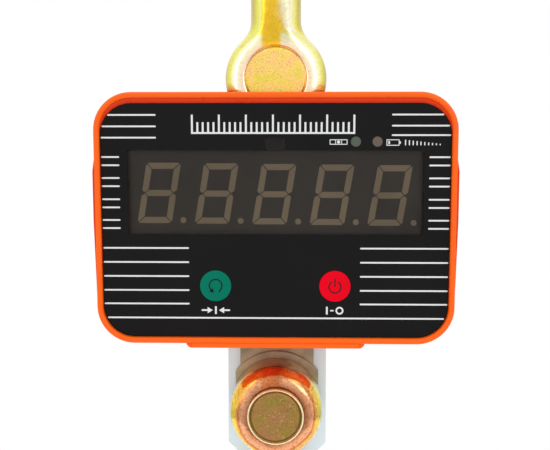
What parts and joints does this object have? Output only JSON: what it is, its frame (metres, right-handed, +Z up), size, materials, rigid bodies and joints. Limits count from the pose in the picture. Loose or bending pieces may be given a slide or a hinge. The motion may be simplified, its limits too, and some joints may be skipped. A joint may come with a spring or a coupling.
{
  "type": "crane scale",
  "caption": "Hanging scale: bow shackle, plate load cell with a boxed digital display, and a swivel hook with latch on a fork.",
  "frame": {"origin": "top of the inside of the bow, on the load line, where a crane hook bears", "axes": "+Z up along the load line, +X to the right as seen from the display side, display faces -Y"},
  "size_m": [0.1828, 0.1332, 0.5292],
  "materials": {
    "zinc_yellow": "satin, iridescent yellow zinc over a forged skin",
    "nickel": "satin nickel plate",
    "bronze_plate": "dull brown zinc plate",
    "steel": "plain bright steel",
    "dark_steel": "blackened",
    "orange_coat": "semi-gloss orange powder coat",
    "rubber": "matt",
    "black_panel": "black film with white print",
    "smoked_window": "smoked clear plastic",
    "key_green": "smooth, white print",
    "key_red": "smooth, white print",
    "lamp_green": "diffused lens, unlit",
    "lamp_red": "diffused lens, unlit",
    "board_green": "solder mask",
    "dark_plastic": "moulded",
    "digit_body": "grey face with unlit segments",
    "battery_case": "moulded"
  },
  "bodies": {
    "upper_shackle": {"upper_shackle": "zinc_yellow", "upper_pin": "zinc_yellow", "upper_washer": "steel", "upper_lock_pin": "dark_steel"},
    "scale_body": {"load_cell": "nickel", "gauge_cover_front": "nickel", "gauge_cover_rear": "nickel", "cheek_plate_front": "bronze_plate", "cheek_plate_rear": "bronze_plate", "cheek_screws": "steel", "front_shell": "orange_coat", "case_gasket": "rubber", "rear_shell": "orange_coat", "case_screws": "steel", "upper_seal": "rubber", "lower_seal": "rubber", "mount_bracket_left": "steel", "mount_bracket_right": "steel", "front_panel": "black_panel", "display_window": "smoked_window", "steady_lamp": "lamp_green", "battery_lamp": "lamp_red", "display_board": "board_green", "tare_switch": "dark_plastic", "power_switch": "dark_plastic", "digit_1": "digit_body", "digit_2": "digit_body", "digit_3": "digit_body", "digit_4": "digit_body", "digit_5": "digit_body", "ir_receiver": "dark_plastic", "board_screws": "steel", "main_board": "board_green", "supply_parts": "dark_plastic", "battery_tray": "dark_plastic", "battery": "battery_case", "battery_terminals": "steel", "hinge_pins": "steel", "charging_socket": "nickel", "socket_nut": "nickel"},
    "tare_key": {"tare_key": "key_green"},
    "power_key": {"power_key": "key_red"},
    "battery_door": {"battery_door": "orange_coat", "door_seal": "rubber"},
    "door_screw_left": {"door_screw_left": "steel"},
    "door_screw_right": {"door_screw_right": "steel"},
    "lower_fork": {"lower_fork": "zinc_yellow", "lower_pin": "zinc_yellow", "lower_washer": "steel", "lower_lock_pin": "dark_steel", "lower_race": "steel", "bearing_balls": "steel"},
    "swivel_hook": {"upper_race": "steel", "hook": "zinc_yellow", "hook_nut": "zinc_yellow", "nut_pin": "dark_steel", "latch_pin": "steel"},
    "latch": {"latch": "zinc_yellow", "latch_springs": "steel"}
  },
  "joints": [
    {"name": "upper_pin_pivot", "type": "hinge", "parent": "upper_shackle", "child": "scale_body", "pos_m": [0, 0, -0.1052], "axis": [0, 1, 0], "range_deg": [-60, 60]},
    {"name": "tare_key_press", "type": "slide", "parent": "scale_body", "child": "tare_key", "axis": [0, 0.9994, 0.0349], "range_m": [0, 0.0006], "stiffness_N_per_m": 300, "springref_m": -0.001},
    {"name": "power_key_press", "type": "slide", "parent": "scale_body", "child": "power_key", "axis": [0, 0.9994, 0.0349], "range_m": [0, 0.0006], "stiffness_N_per_m": 300, "springref_m": -0.001},
    {"name": "battery_door_hinge", "type": "hinge", "parent": "scale_body", "child": "battery_door", "pos_m": [0, 0.063, -0.1399], "axis": [1, 0, 0], "range_deg": [0, 110]},
    {"name": "door_screw_left_turn", "type": "hinge", "parent": "battery_door", "child": "door_screw_left", "pos_m": [-0.069, 0.0615, -0.2145], "axis": [0, 1, 0], "continuous": true},
    {"name": "door_screw_right_turn", "type": "hinge", "parent": "battery_door", "child": "door_screw_right", "pos_m": [0.069, 0.0615, -0.2145], "axis": [0, 1, 0], "continuous": true},
    {"name": "lower_pin_pivot", "type": "hinge", "parent": "scale_body", "child": "lower_fork", "pos_m": [0, 0, -0.2797], "axis": [0, 1, 0], "range_deg": [-60, 60]},
    {"name": "hook_swivel", "type": "hinge", "parent": "lower_fork", "child": "swivel_hook", "pos_m": [0, 0, -0.3397], "axis": [0, 0, 1], "continuous": true},
    {"name": "latch_hinge", "type": "hinge", "parent": "swivel_hook", "child": "latch", "pos_m": [0.016, 0, -0.4007], "axis": [0, 1, 0], "range_deg": [0, 50], "stiffness_Nm_per_rad": 0.03, "springref_deg": -34.38}
  ]
}
